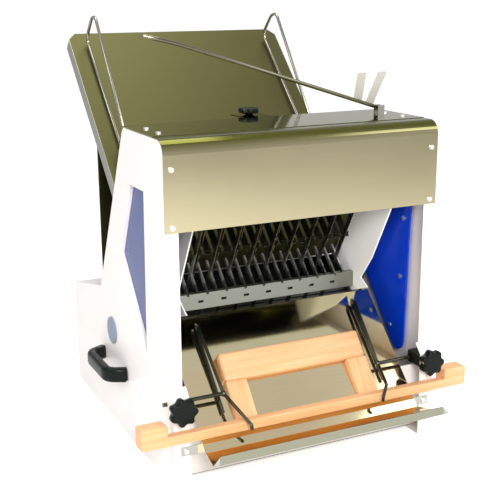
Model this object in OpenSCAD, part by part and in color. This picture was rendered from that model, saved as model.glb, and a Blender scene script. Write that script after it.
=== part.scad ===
// Countertop bread slicer: loaf slides down the chute through two reciprocating blade frames.
// Millimetres, +Z up, origin on the floor at the middle of the outline.

/* [Body] */
// Width across the outside of the side panels
body_w = 600; // [580:5:640]
// Height of the side panels
body_h = 678; // [670:1:690]
// Depth from the front flange to the rear of the base
base_d = 630; // [615:5:650]
// Height of the base at its rear
base_rear_h = 252; // [244:1:258]
// Height where the leaning rear edge starts
base_front_h = 300; // [294:1:306]
// Depth where the leaning rear edge starts
base_step_d = 413; // [405:1:420]
// Depth of the panel top
panel_top_d = 218; // [212:1:224]
// Forward reach of the legs below their step
leg_reach = 19; // [16:1:22]
// Height of the leg step
leg_step_h = 205; // [198:1:212]
// Rise of the slanted part of the leg step
leg_step_rise = 20; // [14:1:26]
// Sheet thickness of panels and covers
sheet_t = 2; // [1.5:0.1:2.4]
// Width of the upper front flange
flange_w = 27; // [24:1:30]
// Width of the lower front flange, the top flange and the bottom flange
foot_w = 34; // [30:1:36]
// Radius of the upper front bend
bend_r = 26; // [22:1:30]
// Radius of the rear top corner of the panels
rear_r = 25; // [20:1:30]
// Radius of the window corners
window_r = 10; // [6:1:14]
// Depth of the return flange around the window
window_lip = 8; // [7:0.5:10]
// Thickness of the window sheets
acrylic_t = 4; // [3:0.5:5]
// Height of the front cover
cover_h = 170; // [162:1:178]
// Depth of the front cover on top
cover_top_d = 50; // [44:1:56]
// Thickness of the top plate
top_t = 2.6; // [2.2:0.1:3]
// Depth of the rear edge of the top plate
top_rear = 222; // [219:1:228]
// Width of the tongue behind the top plate
tongue_w = 64; // [58:1:70]
// Length of the tongue behind the top plate
tongue_d = 68; // [64:1:74]
// Diameter of the cover screw heads
screw_d = 10; // [8:0.5:11]
// Height of the cover screw heads
screw_h = 2.5; // [2:0.1:3]

/* [Chute] */
// Half width of the chute
chute_half = 272; // [270:1:274]
// Height of the loaf plane above the depth coordinate
loaf_rise = 158; // [154:1:162]
// Depth of the lower end of the chute
chute_y = 235; // [233:1:239]
// Length of the chute along its slope
chute_len = 634; // [620:1:645]
// Depth of the folded chute sides
chute_fold = 30; // [28:1:34]
// Corner chamfer at the chute top
chute_chamfer = 18; // [14:1:22]
// Wire diameter of the guides
wire_d = 7; // [6:0.5:8]
// Half distance between the infeed guides
guide_half = 232; // [228:1:236]
// Travel of the infeed guides towards the middle
guide_travel = 60; // [50:1:64]
// Diameter of the cross rod under the chute
cross_d = 12; // [10:0.5:13]

/* [Blades] */
// Lean of the blades from upright in degrees
lean = 30; // [28:0.5:32]
// Depth where the blades cross the loaf plane
blade_y = 204; // [202:1:206]
// Number of blades
blade_n = 17; // [15:2:17]
// Distance between blades
pitch = 22; // [21:0.5:22.5]
// Thickness of a blade
blade_t = 1; // [0.8:0.1:1.2]
// Width of a blade
blade_w = 12; // [10:0.5:14]
// Thickness of each blade frame
frame_t = 22; // [20:0.5:22.5]
// Gap between the two blade frames
frame_gap = 4; // [3.5:0.5:5]
// Height of the frame bars
bar_h = 24; // [20:1:26]
// Inner end of the frame side bars
side_in = 252; // [251:1:254]
// Width of the frame side bars
side_w = 16; // [14:0.5:17]
// Top of the lower frame bar below the loaf plane
low_bar = 126; // [124:1:130]
// Stroke of each frame to either side
throw = 8; // [7:0.5:8.5]
// Diameter of the frame guide rods
rod_d = 10; // [9:0.5:11]
// Distance of the frame guide rods from the middle
rod_x = 231; // [230:0.5:232]

/* [Combs] */
// Inner face of the white cheeks
cheek_x = 213; // [212:0.5:214]
// Thickness of the cheeks
cheek_t = 3; // [2.5:0.1:3.2]
// Front face depth of the lower comb bar
comb_y = 173; // [171:1:175]
// Depth of the lower comb bar
comb_d = 14; // [12:1:16]
// Underside height of the lower comb bar
comb_z = 294; // [292:1:296]
// Height of the lower comb bar
comb_h = 34; // [32:1:36]
// Width of a lower finger
finger_w = 4; // [3:0.5:5]
// Depth of a lower finger
finger_h = 9; // [8:0.5:10]
// Distance of the press comb from the loaf plane
press_h = 63; // [60:1:66]
// Width of a press comb slat
slat_w = 14; // [12:0.5:15]
// Thickness of a press comb slat
slat_t = 2.5; // [2:0.1:3]
// Length of the slats
slat_len = 56; // [54:1:60]
// Size of the press comb beam
beam = 20; // [18:1:22]
// Height adjustment of the press comb
press_travel = 40; // [30:1:42]

/* [Discharge] */
// Height of the slide plane above the depth coordinate
slide_rise = 122; // [119:1:124]
// Half width of the slide
slide_half = 245; // [242:1:248]
// Depth of the fold between slide and shelf
fold_y = -43; // [-45:1:-41]
// Forward reach of the shelf
shelf_reach = 126; // [122:1:130]
// Rise of the shelf towards its front edge
shelf_rise = 15; // [12:1:18]
// Half width of the shelf at the front edge
shelf_half = 265; // [260:1:265]
// Height of the hem at the front edge
hem_h = 15; // [12:1:17]
// Wood thickness of the loaf rest
wood_t = 20; // [18:0.5:20.5]
// Half width of the loaf rest frame
rest_half = 165; // [160:1:168]
// Half width of the opening in the loaf rest
rest_open = 118; // [114:1:122]
// Length of the rest frame up the slide
rest_len = 192; // [186:1:196]
// Width of the upper rail of the rest
rest_rail = 60; // [54:1:64]
// Angle of the wooden frame off the slide
rest_tilt = 5; // [4:0.5:6]
// Overhang of the wooden bar beyond the panels
bar_over = 73; // [68:1:78]
// Underside height of the wooden bar
bar_z = 105; // [104:1:107]
// Height of the end blocks
block_h = 42; // [38:1:44]
// Distance of the discharge guides from the middle
wire_x = 180; // [178:1:182]
// Diameter of the clamp rods
clamp_d = 8; // [7:0.5:8.5]
// Depth of the clamp rods
clamp_y = 15; // [14:1:17]
// Height of the clamp rods and star knobs
clamp_z = 168; // [166:1:170]
// Diameter of the star knobs
star_d = 60; // [55:1:62]
// Thickness of the star knobs
star_h = 20; // [17:1:22]
// Distance of the star knobs from the middle
star_x = 285; // [284:0.5:286]
// Travel of the discharge guides outwards
wire_travel = 50; // [40:1:52]

/* [Drive] */
// Depth of the crankshaft
crank_y = 327; // [326:1:328]
// Height of the crankshaft
crank_z = 148; // [147:1:149]
// Diameter of the crankshaft
crank_d = 24; // [22:1:25]
// Diameter of the eccentrics
ecc_d = 48; // [46:1:50]
// Distance of the front connecting rods from the middle
front_rod_x = 190; // [188:1:192]
// Distance of the rear connecting rods from the middle
rear_rod_x = 150; // [148:1:152]
// Thickness of the connecting rods
link_t = 12; // [10:0.5:13]
// Wrist position below the loaf plane
wrist_s = 180; // [179:1:182]
// Diameter of the crank pulley
big_d = 150; // [140:1:154]
// Diameter of the motor pulley
small_d = 64; // [60:1:68]
// Width of the belt
belt_w = 12; // [10:0.5:13]
// Thickness of the belt
belt_t = 6; // [5:0.5:7]
// Position of the belt across the machine
belt_x = 100; // [96:1:106]
// Height of the motor axis
motor_z = 110; // [106:1:114]
// Diameter of the motor
motor_d = 130; // [120:1:134]
// Length of the motor
motor_len = 185; // [175:1:190]
// Diameter of the motor shaft
shaft_d = 18; // [16:0.5:19]

/* [Fittings] */
// Distance of the carrying handle feet
grip_len = 160; // [154:1:166]
// Depth of the front handle foot
grip_y = 249; // [244:1:254]
// Height of the carrying handles
grip_z = 145; // [140:1:150]
// Stand-off of the carrying handles
grip_out = 38; // [35:1:42]
// Thickness of the handle bar
grip_d = 21; // [19:0.5:23]
// Height of the handle bar
grip_h = 32; // [28:1:34]
// Diameter of the side disc
disc_d = 60; // [54:1:64]
// Depth of the black knob behind the top plate
knob_y = 265; // [262:1:268]
// Diameter of the black knob
knob_d = 46; // [42:1:48]
// Height of the black knob
knob_h = 15; // [13:0.5:18]
// Distance of the arm pivot from the middle
arm_x = 255; // [252:1:258]
// Depth of the hold-down arm
arm_y = 150; // [147:1:153]
// Rise of the arm pivot above the top plate
arm_rise = 12; // [11:0.5:13]
// Length of the straight part of the arm
arm_len = 481; // [470:1:485]
// Length of the bent arm tip
tip_len = 76; // [70:1:80]
// Slope of the arm in degrees
arm_slope = 17.7; // [17:0.1:19]
// Diameter of the arm
arm_d = 8; // [7:0.5:9]
// Depth of the switch box
box_out = 40; // [36:1:44]
// Diameter of the push buttons
button_d = 22; // [20:0.5:24]
// Push of the buttons
button_push = 4; // [3:0.5:4.5]

/* [Hidden] */
$fn = 48;
half_w = body_w / 2;
skin_x = half_w - sheet_t;
slope = 45;
overrun = body_w / 200;
fit_gap = body_w / 10000;
free_gap = body_w / 1200;
chute_z = chute_y + loaf_rise;
blade_z = blade_y + loaf_rise;
fold_z = fold_y + slide_rise;
front_y = -shelf_reach;
rear_y = chute_y + chute_len * cos(slope) + chute_fold * sin(slope);
y_mid = (front_y + rear_y) / 2;
leg_y = -leg_reach;
pan_z = 2 * sheet_t;
top_z = body_h + top_t;
cover_low = body_h - cover_h;
bar_half = half_w + bar_over;
block_len = bar_over * 0.7534;
cheek_h = (body_h - blade_z) * 0.981;
high_bar = (body_h - blade_z) * 0.8291;
motor_y = crank_y + (base_d - crank_y) * 0.637;
guard_y = base_step_d + (base_d - base_step_d) * 0.38;
guard_low = base_front_h - (base_front_h - base_rear_h) * 0.38;
cross_a = round((guard_y - chute_y) / cos(slope) * 0.7873);
frame_n = (frame_gap + frame_t) / 2;
acrylic_x = skin_x - window_lip - acrylic_t;
window_shares = [[0.494, 0.839], [0.867, 0.839], [1.225, 0.605], [0.546, 0.341]];
window_margin_shares = [0.021, 0.021, 0.065, 0.065];
window = [for (p = window_shares) [p[0] * panel_top_d, p[1] * body_h]];
cheek_shares = [[-0.323, 0.739], [0.129, -0.032], [-0.077, -0.261], [-0.290, -0.184],
  [-0.197, -0.132]];
left_front_shares = [[-0.132, -0.0945], [-0.540, 0.612]];
right_front_shares = [[-0.332, 0.042], [-0.623, 0.565]];
function cheek_pts(front) = [for (p = concat(cheek_shares, front))
  [blade_y + p[0] * cheek_h, blade_z + p[1] * cheek_h]];
screw_shares = [[0.407, 0.677], [0.434, 0.482], [0.595, 0.301]];
panel_pts = [[leg_y, 0], [base_d, 0], [base_d, base_rear_h], [base_step_d, base_front_h],
  [panel_top_d, body_h], [0, body_h], [0, leg_step_h], [leg_y, leg_step_h - leg_step_rise]];
panel_rs = [0, 0, 0, 0, rear_r, bend_r, 0, 0];
spacer_shares = [[0.58, -0.129], [0.758, -0.129]];
spacer_d = cheek_h * 0.045;
rod_low = -cheek_h * 0.065;
rod_high = cheek_h * 0.794;
block_s = cheek_h * 0.058;
lug_shares = [0.13, 0.58];
crank_s = -(crank_y - blade_y) * sin(lean) + (crank_z - blade_z) * cos(lean);
crank_n = (crank_y - blade_y) * cos(lean) + (crank_z - blade_z) * sin(lean);
link_r = ecc_d / 2 + crank_d * 0.4;
eye_r = crank_d * 0.45;
lug_t = link_t * 0.66;
lug_half = frame_t * 0.38;
slat_a = -slat_len * 0.64;
beam_a = slat_a + slat_len + (chute_y - blade_y) / cos(slope) + beam / 2;
beam_h = press_h + beam / 2;
post_n = beam_a * cos(slope - lean) - beam_h * sin(slope - lean);
post_s = beam_a * sin(slope - lean) + beam_h * cos(slope - lean);
post_d = rod_d * 1.2;
post_x = front_rod_x * 0.79;
shelf_s = high_bar * 0.63;
guard_n = post_n + beam * 2.9;
guard_s = (body_h - blade_z - guard_n * sin(lean)) / cos(lean);
bush_h = beam * 2;
belt_gap = belt_t / 12;
hub_w = arm_d * 1.4;
arm_z = top_z + arm_rise;

function unit(v) = v / norm(v);
function side(a, b) = [-unit(b - a)[1], unit(b - a)[0]];
function wrap(a) = a > 180 ? a - 360 : a < -180 ? a + 360 : a;
function corner(a, b, c, r) = let (u = unit(a - b), v = unit(c - b), h = acos(u * v) / 2,
  o = b + unit(u + v) * r / sin(h), p = b + u * r / tan(h), q = b + v * r / tan(h),
  s = atan2(p[1] - o[1], p[0] - o[0]),
  w = wrap(atan2(q[1] - o[1], q[0] - o[0]) - s))
  [for (i = [0:8]) o + r * [cos(s + w * i / 8), sin(s + w * i / 8)]];
function rounded(p, rs) = let (n = len(p)) [for (i = [0:n - 1])
  each rs[i] > 0 ? corner(p[(i + n - 1) % n], p[i], p[(i + 1) % n], rs[i]) : [p[i]]];
function cross_pt(a, d, b, e) = let (k = d[0] * e[1] - d[1] * e[0], w = b - a)
  a + d * (w[0] * e[1] - w[1] * e[0]) / k;
function grown(p, ds) = let (n = len(p)) [for (i = [0:n - 1])
  let (h = (i + n - 1) % n, j = (i + 1) % n)
  cross_pt(p[h] + side(p[h], p[i]) * ds[h], p[i] - p[h], p[i] + side(p[i], p[j]) * ds[i], p[j] - p[i])];
function lapped(p, i, t) = let (n = len(p)) i == 0 ? p[0] + t * side(p[0], p[1])
  : i == n - 1 ? p[i] + t * side(p[i - 1], p[i])
  : let (a = side(p[i - 1], p[i]), b = side(p[i], p[i + 1]), m = unit(a + b)) p[i] + m * t / (m * a);
function strip(p, t) = concat(p, [for (i = [len(p) - 1:-1:0]) lapped(p, i, t)]);
function bent(o, r, a, b) = [for (i = [0:8]) o + r * [cos(a + (b - a) * i / 8),
  sin(a + (b - a) * i / 8)]];
function on_chute(a, h) = [chute_y + a * cos(slope) - h * sin(slope),
  chute_z + a * sin(slope) + h * cos(slope)];
function on_slide(a, h) = [fold_y + a * cos(slope) - h * sin(slope),
  fold_z + a * sin(slope) + h * cos(slope)];

module place() {
  translate([0, -y_mid, 0]) children();
}
module both() {
  children();
  mirror([1, 0, 0]) children();
}
module span(x0, x1) {
  translate([x0, 0, 0]) rotate([90, 0, 90]) linear_extrude(x1 - x0) children();
}
module brick(lo, hi) {
  translate(lo) cube(hi - lo);
}
module tube(a, b, r) {
  v = b - a;
  translate(a) rotate([0, acos(v[2] / norm(v)), atan2(v[1], v[0])]) cylinder(h = norm(v), r = r);
}
module wire(p, r) {
  for (i = [0:len(p) - 2]) tube(p[i], p[i + 1], r);
  for (i = [1:len(p) - 2]) translate(p[i]) sphere(r = r * 1.04);
}
module leaning() {
  translate([0, blade_y, blade_z]) rotate([lean, 0, 0]) children();
}
module chute_frame() {
  translate([0, chute_y, chute_z]) rotate([slope, 0, 0]) children();
}
module slide_frame() {
  translate([0, fold_y, fold_z]) rotate([slope, 0, 0]) children();
}

module panel() {
  lower = [[leg_y, 0], [leg_y, leg_step_h - leg_step_rise], [0, leg_step_h]];
  difference() {
    union() {
      span(-half_w, -skin_x) polygon(rounded(panel_pts, panel_rs));
      span(-skin_x, -half_w + flange_w) polygon(strip(concat(lower, [[0, body_h - bend_r]]), -sheet_t));
      span(-skin_x, -half_w + foot_w) polygon(strip(lower, -sheet_t));
      brick([-skin_x, bend_r, body_h - sheet_t], [-half_w + foot_w, panel_top_d - rear_r, body_h]);
      brick([-skin_x, leg_y, 0], [-half_w + foot_w, base_d, sheet_t]);
      span(-skin_x, -skin_x + window_lip)
        polygon(grown(window, [for (i = [0:3]) sheet_t]));
    }
    span(-half_w - overrun, -skin_x + window_lip + overrun) polygon(window);
    tube([-half_w - overrun, clamp_y, clamp_z],
      [-skin_x + overrun, clamp_y, clamp_z], clamp_d / 2 + free_gap);
    tube([-star_x, leg_y - overrun, clamp_z],
      [-star_x, leg_y + sheet_t + overrun, clamp_z], clamp_d / 2 + free_gap);
  }
}
module left_side_panel() {
  color([0.95, 0.94, 0.92]) panel();
}
module right_side_panel() {
  color([0.95, 0.94, 0.92]) mirror([1, 0, 0]) panel();
}
module pane() {
  difference() {
    span(-acrylic_x - acrylic_t, -acrylic_x)
      polygon(rounded(grown(window, [for (m = window_margin_shares) m * body_h]),
        [for (i = [0:3]) rear_r]));
    leaning() tube([-half_w, spacer_shares[0][1] * cheek_h, spacer_shares[0][0] * cheek_h],
      [0, spacer_shares[0][1] * cheek_h, spacer_shares[0][0] * cheek_h], spacer_d / 2 + free_gap);
  }
}
module left_window() {
  color([0.1, 0.25, 0.75, 0.6]) pane();
}
module right_window() {
  color([0.1, 0.25, 0.75, 0.6]) mirror([1, 0, 0]) pane();
}
module window_screws() {
  color([0.9, 0.9, 0.9]) both() for (p = screw_shares)
    tube([-acrylic_x, p[0] * panel_top_d, p[1] * body_h],
      [-acrylic_x + screw_h, p[0] * panel_top_d, p[1] * body_h], screw_d / 2);
}
module front_cover() {
  color([0.75, 0.73, 0.6]) span(-half_w, half_w) polygon(strip(concat([[0, cover_low]],
    bent([bend_r, body_h - bend_r], bend_r, 180, 90), [[cover_top_d, body_h]]), sheet_t * 0.8));
}
module top_plate() {
  color([0.75, 0.73, 0.6]) difference() {
    union() {
      brick([-half_w, cover_top_d, body_h], [half_w, top_rear, top_z]);
      brick([-tongue_w / 2, top_rear - overrun, body_h], [tongue_w / 2, top_rear + tongue_d, top_z]);
    }
    tube([0, knob_y, body_h - overrun], [0, knob_y, top_z + overrun], clamp_d / 2 + free_gap);
  }
}
module cover_screws() {
  color([0.6, 0.6, 0.55]) both() {
    for (z = [cover_low + screw_d, body_h - bend_r * 2])
      tube([star_x, -sheet_t * 0.8, z], [star_x, -sheet_t * 0.8 - screw_h, z], screw_d / 2);
    for (k = [0.4, 0.7])
      tube([half_w - flange_w, top_rear * k, top_z],
        [half_w - flange_w, top_rear * k, top_z + screw_h], screw_d / 2);
    tube([half_w - foot_w * 0.7, leg_y - sheet_t * 0.8, fold_z],
      [half_w - foot_w * 0.7, leg_y - sheet_t * 0.8 - screw_h, fold_z], screw_d / 2);
  }
}
module base_pan() {
  color([0.7, 0.7, 0.7]) brick([-skin_x, leg_step_h / 8, sheet_t], [skin_x, base_d, pan_z]);
}
module rear_cover() {
  color([0.95, 0.94, 0.92]) span(-skin_x, skin_x) polygon(strip([[base_d, pan_z], [base_d, base_rear_h],
    [base_step_d, base_front_h]], sheet_t));
}
module rear_guard() {
  color([0.7, 0.7, 0.68]) span(-chute_half + sheet_t * 2, chute_half - sheet_t * 2)
    polygon([[guard_y, guard_low],
      [guard_y + sheet_t * 2, guard_low - sheet_t * 2 * (base_front_h - base_rear_h)
      / (base_d - base_step_d)], [guard_y + sheet_t * 2,
        guard_y + loaf_rise - sheet_t * 0.8 / cos(slope) + sheet_t * 2],
      [guard_y, guard_y + loaf_rise - sheet_t * 0.8 / cos(slope)]]);
}
module lower_front_panel() {
  color([0.95, 0.94, 0.92]) brick([-skin_x, leg_step_h / 8, pan_z], [skin_x, leg_step_h / 8 + sheet_t,
    leg_step_h / 8 + slide_rise - sheet_t * 0.8 / cos(slope)]);
}
module infeed_chute() {
  s = sheet_t * 0.8;
  c = chute_chamfer;
  color([0.6, 0.57, 0.4]) chute_frame() difference() {
    union() {
      translate([0, 0, -s]) linear_extrude(s) polygon([[-chute_half, 0], [chute_half, 0],
        [chute_half, chute_len - c], [chute_half - c, chute_len], [c - chute_half, chute_len],
        [-chute_half, chute_len - c]]);
      both() brick([chute_half - s, chute_fold * 2, -chute_fold], [chute_half, chute_len - c, 0]);
      brick([c - chute_half, chute_len - s, -chute_fold], [chute_half - c, chute_len, 0]);
      rotate([lean - slope, 0, 0]) brick([-cheek_x, 0, -chute_fold * 1.7], [cheek_x, s, 0]);
    }
    both() brick([guide_half - guide_travel - cross_d / 2, cross_a - cross_d / 2, -s - overrun],
      [guide_half + cross_d / 2, cross_a + cross_d / 2, overrun]);
  }
}
module chute_brackets() {
  color([0.6, 0.6, 0.6]) both() chute_frame()
    brick([chute_half, chute_fold * 2, -chute_fold], [skin_x, chute_fold * 3.4, -chute_fold * 0.3]);
}
cross_h = -chute_fold * 0.55;
module guide_cross_rod() {
  color([0.8, 0.8, 0.8]) chute_frame() tube([sheet_t * 0.8 - chute_half, cross_a, cross_h],
    [chute_half - sheet_t * 0.8, cross_a, cross_h], cross_d / 2);
}
module left_cheek() {
  color([0.95, 0.94, 0.92]) span(-cheek_x - cheek_t, -cheek_x) polygon(cheek_pts(left_front_shares));
}
module right_cheek() {
  color([0.95, 0.94, 0.92]) span(cheek_x, cheek_x + cheek_t) polygon(cheek_pts(right_front_shares));
}
module cheek_spacers() {
  color([0.8, 0.8, 0.8]) both() leaning() for (p = spacer_shares)
    tube([cheek_x + cheek_t, p[1] * cheek_h, p[0] * cheek_h],
      [skin_x, p[1] * cheek_h, p[0] * cheek_h], spacer_d / 2);
}
module frame_rods() {
  color([0.85, 0.85, 0.85]) both() leaning() for (n = [-frame_n, frame_n])
    tube([rod_x, n, rod_low], [rod_x, n, rod_high], rod_d / 2);
}
module rod_blocks() {
  color([0.6, 0.6, 0.6]) both() leaning() for (s = [rod_low, rod_high - block_s]) difference() {
    brick([cheek_x + cheek_t, -frame_n * 2, s], [rod_x + rod_d, frame_n * 2, s + block_s]);
    for (n = [-frame_n, frame_n])
      tube([rod_x, n, s - overrun], [rod_x, n, s + block_s + overrun], rod_d / 2 + fit_gap / 2);
  }
}
module lower_comb() {
  color([0.75, 0.75, 0.73]) {
    difference() {
      brick([-cheek_x, comb_y, comb_z], [cheek_x, comb_y + comb_d, comb_z + comb_h]);
      for (i = [-3:3]) brick([i * pitch * 2.4 - finger_w * 1.5, comb_y - overrun, comb_z + comb_h * 0.4],
        [i * pitch * 2.4 + finger_w * 1.5, comb_y + comb_d + overrun, comb_z + comb_h * 0.55]);
    }
    chute_frame() for (i = [0:blade_n]) translate([(i - blade_n / 2) * pitch, 0, 0])
      brick([-finger_w / 2, -slat_len * (i % 2 == 0 ? 1.66 : 1.5), -finger_h],
        [finger_w / 2, -slat_len * 0.27, 0]);
  }
}
module throat_guard() {
  color([0.7, 0.7, 0.68]) difference() {
    union() {
      leaning() brick([-side_in, guard_n, shelf_s], [side_in, guard_n + sheet_t, guard_s]);
      leaning() brick([-side_in, post_n - beam * 0.8, shelf_s],
        [side_in, guard_n + sheet_t, shelf_s + sheet_t]);
      brick([-side_in, blade_y - guard_s * sin(lean) + guard_n * cos(lean), body_h - sheet_t],
        [side_in, blade_y - guard_s * sin(lean) + guard_n * cos(lean) + beam, body_h]);
    }
    both() leaning() tube([post_x, post_n, shelf_s - overrun],
      [post_x, post_n, shelf_s + sheet_t + overrun],
      post_d / 2 + free_gap);
    translate([0, 0, body_h]) linear_extrude(body_h) square(body_w * 2, center = true);
  }
}
module comb_bushes() {
  color([0.5, 0.5, 0.5]) both() leaning() difference() {
    brick([post_x - beam * 0.7, post_n - beam * 0.7, shelf_s + sheet_t],
      [post_x + beam * 0.7, post_n + beam * 0.7,
      shelf_s + sheet_t + bush_h]);
    tube([post_x, post_n, shelf_s - overrun],
      [post_x, post_n, shelf_s + bush_h * 2], post_d / 2 + fit_gap);
  }
}
module discharge_slide() {
  s = sheet_t * 0.8;
  tip = [front_y, fold_z + shelf_rise];
  run = (comb_y - fold_y) / cos(slope) - comb_d * 1.1;
  color([0.75, 0.73, 0.6]) {
    slide_frame() brick([-slide_half, 0, -s], [slide_half, run, 0]);
    span(-slide_half, slide_half) polygon(strip([tip, [fold_y, fold_z], on_slide(s * 4, 0)], -s));
    hull() {
      span(-shelf_half + hem_h, shelf_half - hem_h) polygon([tip + [s, hem_h], tip + [s * 2, hem_h],
        tip + [s * 2, 0], tip]);
      span(-shelf_half, shelf_half) polygon([tip, tip + [s, 0], tip + [s, -s], tip + [0, -s]]);
    }
    hull() {
      span(-shelf_half, shelf_half) polygon([tip, tip + [s, 0], tip + [s, -s], tip + [0, -s]]);
      span(-slide_half, slide_half) polygon([[fold_y, fold_z], [fold_y - s, fold_z],
        [fold_y - s, fold_z - s],
        [fold_y, fold_z - s]]);
    }
    both() {
      brick([slide_half - screw_d, leg_y - s, fold_z - foot_w / 4],
        [half_w - foot_w * 0.4, leg_y, fold_z + foot_w * 0.3]);
      brick([slide_half - screw_d, leg_y - s, fold_z - foot_w / 4],
        [slide_half, leg_y, leg_y + slide_rise]);
    }
  }
}
module rest_bar() {
  color([0.93, 0.76, 0.53]) {
    brick([-bar_half, leg_y - wood_t, bar_z], [bar_half, leg_y, bar_z + wood_t]);
    both() brick([bar_half - block_len, leg_y - wood_t, bar_z],
      [bar_half, leg_y + wood_t * 0.8, bar_z + block_h]);
  }
}
module rest_frame() {
  slide_frame() translate([0, rest_len, free_gap / 2]) rotate([-rest_tilt, 0, 0])
    translate([0, -rest_len, 0]) children();
}
module rest_top_rail() {
  color([0.93, 0.76, 0.53]) rest_frame() brick([-rest_half, rest_len - rest_rail, 0],
    [rest_half, rest_len, wood_t]);
}
module rest_rail_side() {
  color([0.93, 0.76, 0.53]) difference() {
    rest_frame() brick([-rest_half, wood_t / 2, 0], [-rest_open, rest_len - rest_rail, wood_t]);
    brick([-half_w, leg_y - body_w, 0], [half_w, leg_y + body_w, bar_z + wood_t]);
  }
}
module left_rest_rail() {
  rest_rail_side();
}
module right_rest_rail() {
  mirror([1, 0, 0]) rest_rail_side();
}
module clamp_blocks() {
  color([0.3, 0.3, 0.3]) both() difference() {
    brick([half_w - foot_w, leg_y + sheet_t, clamp_z - clamp_d * 1.6],
      [skin_x, clamp_y + clamp_d * 1.6, clamp_z + clamp_d * 1.6]);
    tube([half_w - foot_w - overrun, clamp_y, clamp_z],
      [half_w, clamp_y, clamp_z], clamp_d / 2 + fit_gap);
    tube([star_x, leg_y, clamp_z], [star_x, clamp_y, clamp_z], clamp_d / 2 + free_gap);
  }
}
module grip_part() {
  inset = grip_d * 0.9;
  foot = grip_d * 0.6;
  outer = -half_w - grip_out - grip_d / 2;
  inner = outer + grip_d;
  color([0.08, 0.08, 0.08]) translate([0, 0, grip_z - grip_h / 2]) linear_extrude(grip_h) polygon([
    [-half_w, grip_y - foot], [outer, grip_y + inset - foot], [outer, grip_y + grip_len - inset + foot],
    [-half_w, grip_y + grip_len + foot], [-half_w, grip_y + grip_len - foot],
    [inner, grip_y + grip_len - inset - foot], [inner, grip_y + inset + foot], [-half_w, grip_y + foot]]);
}
module left_handle() {
  grip_part();
}
module right_handle() {
  mirror([1, 0, 0]) grip_part();
}
module side_disc() {
  color([0.5, 0.55, 0.62]) tube([-half_w, grip_y + grip_len * 0.56, grip_z * 1.5],
    [-half_w - sheet_t * 1.5, grip_y + grip_len * 0.56, grip_z * 1.5], disc_d / 2);
}
bearing_w = side_w * 1.2;
module shaft_bearings() {
  color([0.35, 0.4, 0.42]) both() difference() {
    brick([side_in, crank_y - crank_d, pan_z],
      [side_in + bearing_w, crank_y + crank_d, crank_z + crank_d]);
    tube([side_in - overrun, crank_y, crank_z],
      [side_in + bearing_w + overrun, crank_y, crank_z], crank_d / 2 + fit_gap);
  }
}
motor_x = belt_x - belt_w * 2;
module motor_housing() {
  color([0.3, 0.34, 0.38]) difference() {
    tube([motor_x - motor_len, motor_y, motor_z], [motor_x, motor_y, motor_z], motor_d / 2);
    tube([motor_x - motor_len / 6, motor_y, motor_z],
      [motor_x + overrun, motor_y, motor_z], shaft_d / 2 + fit_gap);
  }
}
module motor_cradle() {
  color([0.35, 0.4, 0.42]) difference() {
    brick([motor_x - motor_len * 0.8, motor_y - motor_d * 0.42, pan_z], [motor_x - motor_len * 0.2,
      motor_y + motor_d * 0.42, motor_z - motor_d * 0.3]);
    tube([motor_x - motor_len, motor_y, motor_z], [motor_x, motor_y, motor_z], motor_d / 2 + fit_gap);
  }
}
belt_c = norm([motor_y - crank_y, motor_z - crank_z]);
belt_a = atan2(motor_z - crank_z, motor_y - crank_y);
belt_b = acos((big_d - small_d) / 2 / belt_c);
function around(o, r, a, b) = [for (i = [0:32]) o + r * [cos(a + (b - a) * i / 32),
  sin(a + (b - a) * i / 32)]];
function loop(g) = concat(
  around([crank_y, crank_z], big_d / 2 + g, belt_a + belt_b, belt_a + 360 - belt_b),
  around([motor_y, motor_z], small_d / 2 + g, belt_a - belt_b, belt_a + belt_b));
module drive_belt() {
  color([0.1, 0.1, 0.1]) span(belt_x - belt_w / 2, belt_x + belt_w / 2) difference() {
    polygon(loop(belt_t + belt_gap));
    polygon(loop(belt_gap));
  }
}
module cable_gland() {
  color([0.1, 0.1, 0.1]) difference() {
    tube([-belt_x, base_d, motor_z * 0.6], [-belt_x, base_d + shaft_d, motor_z * 0.6], shaft_d * 0.6);
    tube([-belt_x, base_d + shaft_d * 0.4, motor_z * 0.6],
      [-belt_x, base_d + shaft_d + overrun, motor_z * 0.6], shaft_d * 0.25);
  }
}
box_y = grip_y + grip_len * 1.2;
box_d = button_d * 3;
start_z = grip_z + button_d * 1.2;
stop_z = grip_z - button_d * 0.6;
module switch_box() {
  color([0.12, 0.12, 0.13]) difference() {
    brick([half_w, box_y, stop_z - button_d * 1.3],
      [half_w + box_out, box_y + box_d, start_z + button_d * 1.3]);
    for (z = [start_z, stop_z]) tube([half_w + box_out / 2, box_y + box_d / 2, z],
      [half_w + box_out + overrun,
      box_y + box_d / 2, z], button_d / 2 + free_gap);
  }
}
module button(z) {
  tube([half_w + box_out * 0.7, box_y + box_d / 2, z],
    [half_w + box_out + button_push * 1.8, box_y + box_d / 2, z], button_d / 2);
}
module start_button() {
  color([0.1, 0.5, 0.2]) button(start_z);
}
module stop_button() {
  color([0.75, 0.08, 0.06]) button(stop_z);
}
module arm_bracket() {
  color([0.6, 0.6, 0.6]) {
    for (k = [-1, 1]) brick([arm_x - arm_d, arm_y + k * (hub_w / 2 + sheet_t) - sheet_t / 2, top_z],
      [arm_x + arm_d, arm_y + k * (hub_w / 2 + sheet_t) + sheet_t / 2, arm_z + arm_d * 0.8]);
    tube([arm_x, arm_y - hub_w / 2 - sheet_t, arm_z],
      [arm_x, arm_y + hub_w / 2 + sheet_t, arm_z], arm_d * 0.35);
  }
}
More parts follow.
